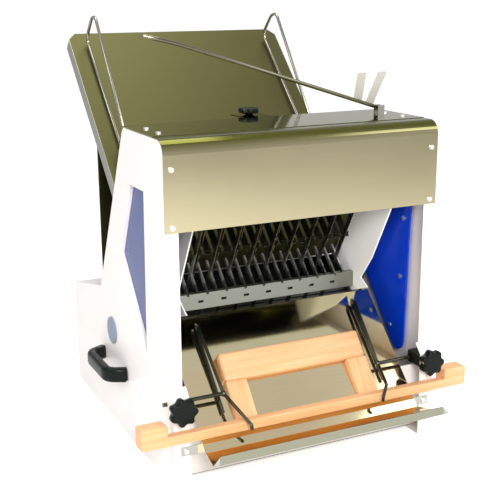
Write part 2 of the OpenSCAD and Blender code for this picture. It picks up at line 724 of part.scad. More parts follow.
module hold_down_arm() {
  a = [-cos(arm_slope), 0, sin(arm_slope)];
  b = [-cos(arm_slope * 0.77), 0, sin(arm_slope * 0.77)];
  p = [arm_x, arm_y, arm_z];
  color([0.8, 0.8, 0.78]) {
    difference() {
      union() {
        tube([arm_x, arm_y - hub_w / 2, arm_z], [arm_x, arm_y + hub_w / 2, arm_z], arm_d * 0.8);
        wire([p, p + a * arm_len, p + a * arm_len + b * tip_len], arm_d / 2);
      }
      tube([arm_x, arm_y - hub_w, arm_z], [arm_x, arm_y + hub_w, arm_z], arm_d * 0.35 + fit_gap);
    }
    for (f = [[0.03, 0.08, 0.31], [0.086, 0.14, 0.09]]) translate([arm_x, arm_y + sheet_t / 2,
      arm_z]) rotate([90, 0, 0])
      linear_extrude(sheet_t) polygon([[-f[0] * arm_len, f[0] * arm_len * tan(arm_slope)],
        [-f[1] * arm_len, f[1] * arm_len * tan(arm_slope)],
        [-f[1] * arm_len + tip_len * f[2] * 1.6, tip_len],
          [-f[0] * arm_len + tip_len * f[2] * 1.2, tip_len]]);
  }
}
module crankshaft() {
  color([0.7, 0.7, 0.7]) {
    tube([-side_in - bearing_w, crank_y, crank_z], [side_in + bearing_w, crank_y, crank_z], crank_d / 2);
    both() leaning() {
      tube([front_rod_x - link_t * 0.6, crank_n - throw, crank_s],
        [front_rod_x + link_t * 0.6, crank_n - throw, crank_s], ecc_d / 2);
      tube([rear_rod_x - link_t * 0.6, crank_n + throw, crank_s],
        [rear_rod_x + link_t * 0.6, crank_n + throw, crank_s], ecc_d / 2);
    }
  }
}
module sheave(y, z, r, bore) {
  difference() {
    union() {
      tube([belt_x - belt_w * 0.6, y, z], [belt_x + belt_w * 0.6, y, z], r);
      for (k = [-1, 1]) tube([belt_x + k * belt_w * 0.75 - belt_w * 0.15, y, z],
        [belt_x + k * belt_w * 0.75 + belt_w * 0.15,
        y, z], r + belt_t * 0.7);
    }
    tube([belt_x - belt_w * 2, y, z], [belt_x + belt_w * 2, y, z], bore / 2);
  }
}
module crank_pulley() {
  color([0.5, 0.5, 0.52]) sheave(crank_y, crank_z, big_d / 2, crank_d);
}
module motor_shaft() {
  color([0.7, 0.7, 0.7]) tube([motor_x - motor_len * 0.15, motor_y, motor_z],
    [belt_x + belt_w, motor_y, motor_z], shaft_d / 2);
}
module motor_pulley() {
  color([0.5, 0.5, 0.52]) sheave(motor_y, motor_z, small_d / 2, shaft_d);
}
module link(x, n) {
  leaning() difference() {
    union() {
      tube([x - link_t / 2, n, crank_s], [x + link_t / 2, n, crank_s], link_r);
      brick([x - link_t / 3, n - eye_r * 0.8, crank_s + ecc_d * 0.6],
        [x + link_t / 3, n + eye_r * 0.8, -wrist_s - eye_r * 0.6]);
      tube([x - link_t / 2, n, -wrist_s], [x + link_t / 2, n, -wrist_s], eye_r);
    }
    tube([x - link_t, n, crank_s], [x + link_t, n, crank_s], ecc_d / 2 + fit_gap);
    tube([x - link_t, n, -wrist_s], [x + link_t, n, -wrist_s], eye_r / 2);
  }
}
module front_links() {
  color([0.65, 0.65, 0.67]) for (k = [-1, 1]) link(k * front_rod_x, crank_n - throw);
}
module rear_links() {
  color([0.65, 0.65, 0.67]) for (k = [-1, 1]) link(k * rear_rod_x, crank_n + throw);
}
module blade_frame(n, x, w) {
  leaning() {
    for (z = [-low_bar - bar_h, high_bar])
      brick([-side_in - side_w, n - frame_t / 2, z], [side_in + side_w, n + frame_t / 2, z + bar_h]);
    both() {
      brick([side_in, n - frame_t / 2, -low_bar - bar_h / 2],
        [side_in + side_w, n + frame_t / 2, high_bar + bar_h / 2]);
      for (k = lug_shares) difference() {
        brick([rod_x - rod_d, n - rod_d, k * cheek_h],
          [side_in + side_w / 2, n + rod_d, k * cheek_h + bar_h]);
        tube([rod_x, n, k * cheek_h - overrun],
          [rod_x, n, k * cheek_h + bar_h + overrun], rod_d / 2 + fit_gap);
      }
      brick([x + link_t * 0.7, w - lug_half, -wrist_s - lug_half],
        [x + link_t * 0.7 + lug_t, w + lug_half, -low_bar - bar_h / 2]);
      tube([x + link_t / 2 + free_gap, w, -wrist_s],
        [x + link_t * 0.7 + lug_t, w, -wrist_s], eye_r * 0.46);
    }
  }
}
module front_blade_frame() {
  color([0.9, 0.9, 0.88]) blade_frame(-frame_n, front_rod_x, crank_n - throw);
}
module rear_blade_frame() {
  color([0.9, 0.9, 0.88]) blade_frame(frame_n, rear_rod_x, crank_n + throw);
}
module blades(n, first) {
  leaning() for (i = [first:2:blade_n - 1]) translate([(i - (blade_n - 1) / 2) * pitch, n, 0])
    brick([-blade_t / 2, -blade_w / 2, -low_bar], [blade_t / 2, blade_w / 2, high_bar]);
}
module front_blades() {
  color([0.8, 0.82, 0.82]) blades(-frame_n, 0);
}
module rear_blades() {
  color([0.8, 0.82, 0.82]) blades(frame_n, 1);
}
module press_comb() {
  reach = cheek_x - slat_w;
  color([0.72, 0.74, 0.72]) chute_frame() {
    for (i = [0:blade_n]) translate([(i - blade_n / 2) * pitch, 0, 0]) {
      brick([-slat_w / 2, slat_a, press_h], [slat_w / 2, slat_a + slat_len + overrun, press_h + slat_t]);
      brick([-slat_w / 2, slat_a + slat_w * 0.4, press_h],
        [slat_w / 2, slat_a + slat_w * 0.4 + slat_t, press_h + slat_w * 0.6]);
    }
    brick([-reach, slat_a + slat_len, press_h], [reach, slat_a + slat_len + beam, press_h + beam]);
  }
  color([0.72, 0.74, 0.72]) both() leaning()
    tube([post_x, post_n, post_s], [post_x, post_n, shelf_s + sheet_t + bush_h * 1.1], post_d / 2);
}
top_run = (comb_y - fold_y) / cos(slope) - wire_d * 6;
module discharge_wire() {
  r = wire_d / 2;
  x = -wire_x;
  low_h = wire_d;
  high_h = wire_d * 2.9;
  front = leg_y - wood_t - wire_d * 2;
  bend = (clamp_z - fold_z + clamp_y - fold_y) * sin(slope);
  function at(px, a, h) = [px, on_slide(a, h)[0], on_slide(a, h)[1]];
  wire([at(x - wire_d, bend * 0.68, low_h), at(x - wire_d, top_run - wire_d, low_h), at(x - wire_d,
    top_run, (low_h + high_h) / 2),
    at(x - wire_d, top_run - wire_d, high_h), [x, clamp_y, clamp_z],
      [x + wire_d * 2, leg_y - wood_t * 0.5 - wire_d * 1.8, bar_z + wood_t * 1.9],
    [x + wire_d * 4, front, bar_z + wood_t * 0.9], [x + wire_d * 4.2, front, bar_z + wood_t * 0.4]], r);
  translate([x, clamp_y, clamp_z]) sphere(r = clamp_d * 0.8);
  tube([-half_w - clamp_d, clamp_y, clamp_z], [x, clamp_y, clamp_z], clamp_d / 2);
}
module left_discharge_guide() {
  color([0.82, 0.82, 0.8]) discharge_wire();
}
module right_discharge_guide() {
  color([0.82, 0.82, 0.8]) mirror([1, 0, 0]) discharge_wire();
}
module star() {
  y = leg_y - wire_d / 2;
  tube([-star_x, y, clamp_z], [-star_x, y - star_h, clamp_z], star_d * 0.38);
  for (i = [0:6]) translate([-star_x + star_d * 0.36 * cos(i * 360 / 7), 0,
    clamp_z + star_d * 0.36 * sin(i * 360 / 7)])
    tube([0, y - star_h * 0.15, 0], [0, y - star_h * 0.85, 0], star_d * 0.14);
  tube([-star_x, y - star_h / 2, clamp_z],
    [-star_x, clamp_y - clamp_d / 2 - free_gap, clamp_z], clamp_d / 2);
  tube([-star_x, y, clamp_z], [-star_x, leg_y, clamp_z], clamp_d);
}
module left_star_knob() {
  color([0.05, 0.06, 0.05]) star();
}
module right_star_knob() {
  color([0.05, 0.06, 0.05]) mirror([1, 0, 0]) star();
}
module infeed_wire() {
  r = wire_d / 2;
  x = -guide_half;
  low = cross_a - wire_d * 3;
  high = chute_len - wire_d * 3.4;
  loft = wire_d * 14;
  foot_h = wire_d * 7;
  chute_frame() {
    wire([[x, low, wire_d * 1.1], [x, high - wire_d * 2, wire_d * 1.1], [x, high, wire_d * 3.5],
      [x, high, loft * 0.8],
      [x, high - wire_d * 2.4, loft], [x, low, foot_h]], r);
    brick([x - r * 0.6, cross_a - wire_d * 4, free_gap * 2],
      [x + r * 0.6, cross_a + wire_d * 2, foot_h + wire_d]);
    tube([x, cross_a, wire_d], [x, cross_a, -sheet_t * 2], cross_d * 0.35);
    difference() {
      brick([x - cross_d, cross_a - cross_d, cross_h - cross_d],
        [x + cross_d, cross_a + cross_d, -sheet_t]);
      tube([x - cross_d * 2, cross_a, cross_h],
        [x + cross_d * 2, cross_a, cross_h], cross_d / 2 + fit_gap);
    }
  }
}
module left_infeed_guide() {
  color([0.82, 0.82, 0.8]) infeed_wire();
}
module right_infeed_guide() {
  color([0.82, 0.82, 0.8]) mirror([1, 0, 0]) infeed_wire();
}
module guard_knob() {
  color([0.05, 0.06, 0.05]) {
    tube([0, knob_y, top_z], [0, knob_y, top_z + knob_h * 0.3], knob_d * 0.25);
    tube([0, knob_y, top_z + knob_h * 0.25], [0, knob_y, top_z + knob_h], knob_d * 0.4);
    for (i = [0:6]) translate([knob_d * 0.37 * cos(i * 360 / 7),
      knob_y + knob_d * 0.37 * sin(i * 360 / 7), 0])
      tube([0, 0, top_z + knob_h * 0.35], [0, 0, top_z + knob_h * 0.85], knob_d * 0.13);
    tube([0, knob_y, top_z + knob_h / 2], [0, knob_y, body_h - knob_h], clamp_d / 2);
  }
}

place() left_side_panel();
place() right_side_panel();
place() left_window();
place() right_window();
place() window_screws();
place() front_cover();
place() top_plate();
place() cover_screws();
place() base_pan();
place() rear_cover();
place() rear_guard();
place() lower_front_panel();
place() infeed_chute();
place() chute_brackets();
place() guide_cross_rod();
place() left_cheek();
place() right_cheek();
place() cheek_spacers();
place() frame_rods();
place() rod_blocks();
place() lower_comb();
place() throat_guard();
place() comb_bushes();
place() discharge_slide();
place() rest_bar();
place() rest_top_rail();
place() left_rest_rail();
place() right_rest_rail();
place() clamp_blocks();
place() left_handle();
place() right_handle();
place() side_disc();
place() shaft_bearings();
place() motor_housing();
place() motor_cradle();
place() drive_belt();
place() cable_gland();
place() switch_box();
place() arm_bracket();
place() crankshaft();
place() crank_pulley();
place() motor_shaft();
place() motor_pulley();
place() front_links();
place() rear_links();
place() front_blade_frame();
place() front_blades();
place() rear_blade_frame();
place() rear_blades();
place() press_comb();
place() left_discharge_guide();
place() right_discharge_guide();
place() left_star_knob();
place() right_star_knob();
place() left_infeed_guide();
place() right_infeed_guide();
place() guard_knob();
place() hold_down_arm();
place() start_button();
place() stop_button();
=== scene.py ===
"""Looks of a countertop bread slicer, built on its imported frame."""
import math

import bpy
import numpy as np
from mathutils import Matrix, Vector


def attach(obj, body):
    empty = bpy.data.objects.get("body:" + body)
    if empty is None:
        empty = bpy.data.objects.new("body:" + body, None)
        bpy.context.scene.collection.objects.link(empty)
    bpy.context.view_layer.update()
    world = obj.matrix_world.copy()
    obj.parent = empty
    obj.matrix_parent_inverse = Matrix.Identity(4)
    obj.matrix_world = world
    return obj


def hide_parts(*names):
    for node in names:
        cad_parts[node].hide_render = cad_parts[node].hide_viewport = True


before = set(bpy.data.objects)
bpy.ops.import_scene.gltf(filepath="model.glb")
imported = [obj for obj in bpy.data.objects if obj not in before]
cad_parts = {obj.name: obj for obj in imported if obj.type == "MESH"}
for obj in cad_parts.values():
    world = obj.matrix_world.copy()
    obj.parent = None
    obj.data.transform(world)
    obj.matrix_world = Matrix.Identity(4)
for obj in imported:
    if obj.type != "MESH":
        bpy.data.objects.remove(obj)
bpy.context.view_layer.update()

bl_info = {
    "name": "Bread slicer looks",
    "version": (1, 0, 0),
    "blender": (4, 5, 0),
    "location": "View3D > Sidebar > Slicer",
    "description": "Builds the visible surfaces, finishes and stage of a bread slicer",
    "category": "Object",
}

# Layout: millimetres from the front flange and the floor, moved back by Y_MID metres into the frame
MM = 1000.0
Y_MID = 0.289259
SLOPE = math.radians(45.0)
CHUTE_FOOT = (0.235, 0.393)
SLIDE_FOOT = (-0.043, 0.079)
ACROSS = (1, 0, 0)
BACK = (0, 1, 0)
UP = (0, 0, 1)
OFF_CHUTE = (0, -math.sin(SLOPE), math.cos(SLOPE))
SIDES = ((-1, "left"), (1, "right"))

# Infeed guides: the wire's corners, foot, slider and pin as places along the chute and above it
GUIDE_X = 232
GUIDE_CORNERS = ((269, 7.7), (596.2, 7.7), (610.2, 24.5), (610.2, 78.4), (593.4, 98), (269, 49))
FOOT_ENDS = (262, 304)
FOOT_H = 28.5
FOOT_SECTION = (0.0042, 0.055, 0.001)
SLIDER_ENDS = (278, 302)
SLIDER_H = -15.2
SLIDER_SECTION = (0.024, 0.026, 0.002)
PIN_PLACE = 290
PIN_HEIGHTS = (6, 0, -6)
PIN_R = 0.0042

# Loaf rest: the leaning frame's rails along the slide, then the long bar with its end blocks
REST_TILT = math.radians(5.0)
REST_SEAT = 192
REST_LIFT = 0.25
RAIL_H = 10
TOP_RAIL_HALF = 165
TOP_RAIL_PLACE = 162
TOP_RAIL_W = 0.06
TOP_RAIL_EASE = 1.5
SIDE_RAIL_X = 141.5
SIDE_RAIL_ENDS = (41, 132)
SIDE_RAIL_W = 0.047
THIN_EASE = 0.7
BAR_HALF = 370
BAR_Y = -29
BAR_Z = 115.3
BLOCK_ENDS = (318, 373)
BLOCK_Y = -21
BLOCK_Z = 126
BLOCK_W = 0.036
BLOCK_H = 0.042

# Carrying handles: corners seen from above, and the shape of the bar's section
GRIP_CORNERS = ((300, 249), (338, 267.9), (338, 390.1), (300, 409))
GRIP_Z = 145
GRIP_BEND = 0.016
GRIP_POINTS = 48
GRIP_TALL = 1.52
GRIP_POWER = 0.55

# Star knobs: head, collar and stud along the depth
STAR_X = 285
STAR_Z = 168
STAR_BACK = -22.5
COLLAR_PLACES = (-19, -21, -24)
COLLAR_R = 0.008
STUD_PLACES = (10.4, 0, -24)
TURNED_POINTS = 28

# Guard knob: head, neck and stud along the height
KNOB_Y = 265
KNOB_BASE = 684.2
KNOB_R = 0.0225
KNOB_DEPTH = 0.0114
NECK_HEIGHTS = (680.6, 683, 687)
NECK_R = 0.0115
KNOB_STUD_HEIGHTS = (663.1, 675, 687)
KNOB_STUD_R = 0.004

# Hold-down arm: rod from its pivot to the left, flatter at its tip, and two fins as foot x, foot z, top x
ARM_PIVOT = (255, 150, 692.6)
ROD_TILT = 17.7
TIP_SHARE = 0.77
ROD_LEN = 0.481
TIP_LEN = 0.076
ROD_BEND = 0.03
HUB_REACH = 0.0055
HUB_SHARE = 1.6
FIN_PLACES = ((-27, 8, 6), (-55, 17, -45))
FIN_TOP = 76
FIN_SECTION = (0.021, 0.002, 0.0008)

# Zones of colour: axis, start and end in metres
# The cover's upper bend is painted dark olive as a painted dark reflection on the cover's own steel.
COVER_BEND_DARK_REFLECTION = ("Z", 0.652, 0.672)
# Painted highlight: the chute's side rims are painted light grey, lighter than the floor of the same steel.
CHUTE_RIM_HIGHLIGHT = ("X", 0.2705, 0.2712)
# The slide's lower part is painted warm gold as a painted reflection of the wooden rest and the lamps,
# blending here into the upper part's tone.
SLIDE_UPPER = ("Z", 0.19, 0.23)
# Painted dark reflection: the hem at the slide's front is painted dark grey-olive.
SLIDE_HEM_DARK_REFLECTION = ("Y", -0.411, -0.4114)
SLIDE_TABS = ("X", 0.2515, 0.252)
# Painted highlight: the comb's fingers are painted near white, far lighter than the bar of the same metal.
COMB_FINGER_HIGHLIGHT = ("Y", -0.104, -0.1)

# Inner space of the base, painted near black as painted shade: half width, front, rear, and the level and
# fall of its sloping lid
BASE_HALF = 0.299
BASE_FRONT = -0.02
BASE_REAR = 0.33974
LID_LEVEL = 0.32632
LID_FALL = 0.2212

# Patterns: depth of relief, span of values that two noises multiplied have, spread of polished roughness
PAINT_RELIEF = 0.0005
WOOD_RELIEF = 0.0004
WOOD_BUMP = 0.15
WOOD_ROUGH = 0.42
NOISE_SPAN = (0.1, 0.4)
POLISH_SPREAD = 0.06

# Outline of a knob: share of its depth, share of its radius, share of the lobes' swell
KNOB_OUTLINE = np.array([
    (0.0, 0.4, 0.2), (0.0, 0.86, 0.9), (0.06, 0.94, 1.0), (0.16, 0.985, 1.0), (0.5, 1.0, 1.0),
    (0.84, 0.985, 1.0), (0.94, 0.94, 1.0), (0.99, 0.86, 0.9), (1.0, 0.7, 0.5), (1.0, 0.35, 0.1)])

# Eased end of a rod or a plank: share of the rounding along it, share of the section left at its end
EASE_ALONG = 0.3
EASE_LEFT = 0.7

# Stage: lamps as name, place, size and power, all aimed at one point; brightness off and on camera rays
LAMPS = (
    ("Key", (-0.8, -2.9, 1.75), 1.0, 90.0),
    ("Fill", (2.4, -1.4, 1.8), 1.8, 25.0),
    ("Top", (0.0, 0.6, 3.2), 2.0, 40.0),
    ("Side", (-2.8, -0.6, 2.4), 1.2, 22.0),
)
AIM = (0, 0, 0.35)
FLOOR_HALF = 9
FLOOR_ROUGH = 0.8
FLOOR_GLOW = (0.0, 0.45)
SKY_STRENGTH = (0.62, 1.02)
CAMERA_PLACE = (-0.9122, -1.9127, 0.9343)
CAMERA_ANGLES = (25.8, 14.79, -0.36)
SENSOR = 36.0
LENS = 70.35
PLAIN_WHITE = (1.0, 1.0, 1.0, 1.0)


def length(name, description, default):
    """A setting for a length."""
    return bpy.props.FloatProperty(name=name, description=description, default=default, unit="LENGTH")


def tint(name, description, default):
    """A setting for a colour."""
    return bpy.props.FloatVectorProperty(name=name, description=description, default=default,
                                         subtype="COLOR", size=3)


class SlicerSizes(bpy.types.PropertyGroup):
    """Sizes of the pieces that are drawn as smooth surfaces."""

    wire: length("Guide wire", "Diameter of the guide wires", 0.007)
    grip: length("Handle bar", "Thickness of the carrying handles", 0.0208)
    clamp: length("Clamp stud", "Diameter of the studs of the star knobs", 0.008)
    star: length("Star knob", "Diameter of the star knobs", 0.0585)
    star_depth: length("Star knob depth", "Depth of the star knobs", 0.02)
    wood: length("Wood", "Thickness of the wooden parts", 0.02)
    wood_round: length("Wood rounding", "Edge radius of the wooden parts", 0.004)
    arm: length("Arm rod", "Diameter of the hold-down rod", 0.008)
    bend: length("Wire bend", "Bend length of the wires at a corner", 0.02)


class SlicerColours(bpy.types.PropertyGroup):
    """Base colours of the finishes, as linear values."""

    cover: tint("Cover steel", "Polished cover", (0.54, 0.48, 0.3))
    # Painted dark reflection: the upper bend of the cover is made dark olive.
    cover_bend_dark_reflection: tint("Cover bend dark reflection", "Upper bend of the cover", (0.15, 0.15, 0.03))
    chute: tint("Chute steel", "Polished chute", (0.115, 0.11, 0.042))
    # Painted highlight: the chute's side rims are made light grey.
    chute_rim_highlight: tint("Chute rim highlight", "Side rims of the chute", (0.42, 0.42, 0.37))
    # Painted reflections: the slide's warm gold tones stand for reflections on one stainless sheet; the lower
    # part carries the painted reflection of the wooden rest and the lamps.
    slide: tint("Slide steel", "Upper part of the polished slide", (0.8, 0.74, 0.47))
    tray_painted_reflection: tint("Tray painted reflection", "Lower part of the polished slide", (0.84, 0.71, 0.45))
    # Painted dark reflection: the hem is made darker than the rest of the slide's sheet.
    hem_dark_reflection: tint("Hem dark reflection", "Hem at the front of the slide", (0.32, 0.32, 0.24))
    tab: tint("Tab steel", "Side tabs of the slide", (0.5, 0.5, 0.45))
    top: tint("Top steel", "Polished top plate", (0.27, 0.27, 0.12))
    # Partly painted light: the off-white paint is tinted warm as a painted warm bounce from the floor.
    white: tint("White paint", "Painted panels", (0.88, 0.83, 0.8))
    # Painted light: the cheeks' paint is the white paint made brighter, standing in for light falling on the
    # shaded cheeks.
    cheek: tint("Cheek paint with painted light", "Inner cheeks", (0.97, 0.96, 0.95))
    # Painted shade: the inside of the base, which lies in shadow, is painted near black.
    inner_shade: tint("Painted inner shade", "Inside of the base", (0.02, 0.022, 0.02))
    acrylic: tint("Acrylic", "Window sheet on the right", (0.003, 0.05, 0.62))
    # Painted reflection: the left window is the same blue acrylic painted a greyed slate blue.
    painted_reflection_acrylic: tint("Left window", "Window sheet on the left", (0.05, 0.08, 0.27))
    wire: tint("Bright wire", "Infeed guides", (0.36, 0.34, 0.28))
    dark_wire: tint("Dark wire", "Discharge guides", (0.1, 0.1, 0.075))
    arm: tint("Arm rod", "Rod of the hold-down arm", (0.2, 0.19, 0.13))
    fin: tint("Fins", "Fins of the hold-down arm", (0.42, 0.4, 0.35))
    steel: tint("Plain steel", "Plain steel parts", (0.55, 0.55, 0.52))
    bolt: tint("Screws", "Screws of windows and cover", (0.93, 0.93, 0.92))
    # Painted light: the comb's bar is kept dark to offset the bright key lamp, and its fingers are painted
    # near white as a painted highlight.
    comb: tint("Comb metal", "Bar of the lower comb", (0.27, 0.28, 0.24))
    finger_highlight: tint("Comb finger highlight", "Fingers of the lower comb", (0.9, 0.9, 0.86))
    # Painted shade: this near-black metal is also put on the throat guard.
    press: tint("Press metal and painted shade", "Press comb", (0.07, 0.075, 0.065))
    blade: tint("Blade steel", "Blades", (0.26, 0.28, 0.26))
    beech_light: tint("Light beech", "Light part of the wood", (0.81, 0.46, 0.235))
    beech_dark: tint("Dark beech", "Dark part of the wood", (0.72, 0.37, 0.16))
    black: tint("Black plastic", "Knobs and handles", (0.005, 0.0075, 0.0055))
    disc: tint("Disc", "Disc on the left panel", (0.2, 0.25, 0.33))
    enamel: tint("Motor enamel", "Motor housing", (0.06, 0.08, 0.1))
    casting: tint("Casting", "Bearings and motor cradle", (0.09, 0.1, 0.11))
    rubber: tint("Rubber", "Drive belt", (0.02, 0.02, 0.02))
    green: tint("Green plastic", "Start button", (0.01, 0.2, 0.05))
    red: tint("Red plastic", "Stop button", (0.45, 0.01, 0.008))
    floor: tint("Floor", "Floor of the stage", (0.9, 0.9, 0.9))


def linked(tree, kind, inputs=None, **values):
    """A node of that kind with attributes set and inputs given as values or sockets."""
    item = tree.nodes.new(kind)
    for key, value in values.items():
        setattr(item, key, value)
    for key, value in (inputs or {}).items():
        if isinstance(value, bpy.types.NodeSocket):
            tree.links.new(value, item.inputs[key])
        else:
            item.inputs[key].default_value = value
    return item


def maths(tree, operation, *terms):
    """The result of a Math node on the terms, which are values or sockets."""
    return linked(tree, "ShaderNodeMath", dict(enumerate(terms)), operation=operation).outputs[0]


def noise(tree, where, scale, detail, distortion=0.0):
    """The value of a noise pattern."""
    settings = {"Vector": where, "Scale": scale, "Detail": detail, "Distortion": distortion}
    return linked(tree, "ShaderNodeTexNoise", settings).outputs["Fac"]


def ranged(tree, value, source, low, high):
    """A value carried from its source range to the range from low to high, each a value or a socket."""
    settings = {"Value": value, "From Min": source[0], "From Max": source[1], "To Min": low, "To Max": high}
    return linked(tree, "ShaderNodeMapRange", settings).outputs["Result"]


def scaled(tree, colour, factor):
    """A colour times a factor."""
    settings = {0: colour, "Scale": factor}
    return linked(tree, "ShaderNodeVectorMath", settings, operation="SCALE").outputs["Vector"]


def blend(tree, factor, low, high):
    """The low colour where the factor is 0 and the high one where it is 1."""
    settings = {"Factor": factor, "A": low, "B": high}
    return linked(tree, "ShaderNodeMix", settings, data_type="RGBA").outputs["Result"]


def build_grain(tree, enter):
    """Fine polishing lines: noise stretched along X times broad noise scales colour and adds roughness."""
    where = enter["Vector"]
    lines = linked(tree, "ShaderNodeMapping", {"Vector": where, "Scale": (6.0, 900.0, 900.0)})
    fine = noise(tree, lines.outputs["Vector"], scale=1.0, detail=3.0)
    mixed = maths(tree, "MULTIPLY", fine, noise(tree, where, scale=5.0, detail=2.0))
    offset = ranged(tree, mixed, NOISE_SPAN, 0.0, enter["Spread"])
    return {
        "Color": scaled(tree, enter["Color"], ranged(tree, mixed, NOISE_SPAN, 0.92, 1.0)),
        "Roughness": maths(tree, "ADD", enter["Roughness"], offset),
    }


def build_mottle(tree, enter):
    """Unevenness and settled dust: broad times fine noise darkens the colour and lifts the roughness."""
    fine = noise(tree, enter["Vector"], scale=160.0, detail=2.0)
    both = maths(tree, "MULTIPLY", noise(tree, enter["Vector"], scale=9.0, detail=5.0), fine)
    offset = ranged(tree, both, NOISE_SPAN, 0.05, -0.03)
    return {
        "Color": scaled(tree, enter["Color"], ranged(tree, both, NOISE_SPAN, enter["Depth"], 1.0)),
        "Roughness": maths(tree, "ADD", enter["Roughness"], offset),
        "Height": fine,
    }


def build_wood(tree, enter):
    """Beech: lines along the grain direction from stretched noise, with short darker flecks."""
    place = linked(tree, "ShaderNodeMapping", {"Vector": enter["Vector"], "Scale": enter["Stretch"]})
    where = place.outputs["Vector"]
    rings = noise(tree, where, scale=1.0, detail=4.0, distortion=0.4)
    line = ranged(tree, rings, (0.35, 0.65), 0.0, 1.0)
    fleck = ranged(tree, noise(tree, where, scale=7.0, detail=2.0), (0.6, 0.75), 0.0, 0.35)
    total = linked(tree, "ShaderNodeMath", {0: line, 1: fleck}, operation="ADD", use_clamp=True).outputs[0]
    return {"Color": blend(tree, total, enter["Light"], enter["Dark"]), "Height": total}


VECTOR, COLOUR, NUMBER = "NodeSocketVector", "NodeSocketColor", "NodeSocketFloat"
SOCKETS = {
    "Vector": VECTOR, "Stretch": VECTOR, "Color": COLOUR, "Light": COLOUR, "Dark": COLOUR,
    "Roughness": NUMBER, "Spread": NUMBER, "Depth": NUMBER, "Height": NUMBER,
}
EFFECTS = {
    "Polish grain": (build_grain, ("Vector", "Color", "Roughness", "Spread"), ("Color", "Roughness")),
    "Paint mottle": (build_mottle, ("Vector", "Color", "Roughness", "Depth"),
                     ("Color", "Roughness", "Height")),
    "Beech grain": (build_wood, ("Vector", "Stretch", "Light", "Dark"), ("Color", "Height")),
}
GROUPS = {}
MATS = {}


def make_groups():
    """The shared effects as node groups; each build function gives a socket for every output."""
    for name, (build, inputs, outputs) in EFFECTS.items():
        tree = bpy.data.node_groups.new(name, "ShaderNodeTree")
        for way, labels in (("INPUT", inputs), ("OUTPUT", outputs)):
            for label in labels:
                tree.interface.new_socket(name=label, in_out=way, socket_type=SOCKETS[label])
        enter = tree.nodes.new("NodeGroupInput")
        leave = tree.nodes.new("NodeGroupOutput")
        for label, socket in build(tree, enter.outputs).items():
            tree.links.new(socket, leave.inputs[label])
        GROUPS[name] = tree


def start_material(name):
    """An empty material with its Principled shader and Object coordinates."""
    mat = bpy.data.materials.new(name)
    mat.use_nodes = True
    tree = mat.node_tree
    shader = tree.nodes["Principled BSDF"]
    coords = tree.nodes.new("ShaderNodeTexCoord")
    return mat, tree, shader, coords.outputs["Object"]


def dress(tree, shader, effect, feeds, settings):
    """Places a shared effect and links the outputs that feeds names to the shader; returns its node."""
    item = linked(tree, "ShaderNodeGroup", settings, node_tree=GROUPS[effect])
    for output, entry in feeds.items():
        tree.links.new(item.outputs[output], shader.inputs[entry])
    return item


def relief(tree, shader, height, strength, distance):
    """A bump from a height."""
    bump = linked(tree, "ShaderNodeBump", {"Height": height, "Strength": strength, "Distance": distance})
    tree.links.new(bump.outputs["Normal"], shader.inputs["Normal"])


SURFACE = {"Color": "Base Color", "Roughness": "Roughness"}


def polish(tree, shader, where, colour, rough, spread):
    """Makes the shader a metal with polishing lines in a colour, given as a value or a socket."""
    dress(tree, shader, "Polish grain", SURFACE,
          {"Vector": where, "Color": colour, "Roughness": rough, "Spread": spread})
    shader.inputs["Metallic"].default_value = 1.0


def paint(tree, shader, where, colour, rough, depth, bump):
    """Makes the shader a mottled paint in a colour, given as a value or a socket."""
    effect = dress(tree, shader, "Paint mottle", SURFACE,
                   {"Vector": where, "Color": colour, "Roughness": rough, "Depth": depth})
    if bump:
        relief(tree, shader, effect.outputs["Height"], bump, PAINT_RELIEF)


def metal(name, colour, rough, spread):
    """Polished or plain metal with grain."""
    mat, tree, shader, where = start_material(name)
    polish(tree, shader, where, (*colour, 1.0), rough, spread)
    return mat


def zoned_metal(name, colour, rough, *zones):
    """Polished metal that takes on the colour of each zone in turn.

    A zone is an axis, a start, an end and a colour. The share of its colour grows evenly from 0 at the
    start to 1 at the end, and X counts from the middle to both sides.
    """
    mat, tree, shader, where = start_material(name)
    split = linked(tree, "ShaderNodeSeparateXYZ", {"Vector": where})
    shade = (*colour, 1.0)
    for axis, start, end, tone in zones:
        place = split.outputs[axis]
        if axis == "X":
            place = maths(tree, "ABSOLUTE", place)
        shade = blend(tree, ranged(tree, place, (start, end), 0.0, 1.0), shade, (*tone, 1.0))
    polish(tree, shader, where, shade, rough, POLISH_SPREAD)
    return mat


def coat(name, colour, rough, depth=0.95, bump=0.0, alpha=1.0, shine=0.5):
    """Paint or moulded plastic with faint mottling."""
    mat, tree, shader, where = start_material(name)
    paint(tree, shader, where, (*colour, 1.0), rough, depth, bump)
    shader.inputs["Alpha"].default_value = alpha
    shader.inputs["Specular IOR Level"].default_value = shine
    return mat


def paint_with_inner_shade(name, colour, inner_shade, rough, depth, bump):
    """Paint outside, and near black painted shade inside the base, where it lies in shadow.

    Inside is where X is within the half width, Y between front and rear, and Z plus Y times the lid's
    fall under the lid's level. The four tests, each 0 or 1, are multiplied.
    """
    mat, tree, shader, where = start_material(name)
    split = linked(tree, "ShaderNodeSeparateXYZ", {"Vector": where}).outputs
    side = maths(tree, "ABSOLUTE", split["X"])
    lid = maths(tree, "MULTIPLY_ADD", split["Y"], LID_FALL, split["Z"])
    inside = maths(tree, "LESS_THAN", side, BASE_HALF)
    for test, value, limit in (("GREATER_THAN", split["Y"], BASE_FRONT), ("LESS_THAN", split["Y"], BASE_REAR),
                               ("LESS_THAN", lid, LID_LEVEL)):
        inside = maths(tree, "MULTIPLY", inside, maths(tree, test, value, limit))
    shade = blend(tree, inside, (*colour, 1.0), (*inner_shade, 1.0))
    paint(tree, shader, where, shade, rough, depth, bump)
    return mat


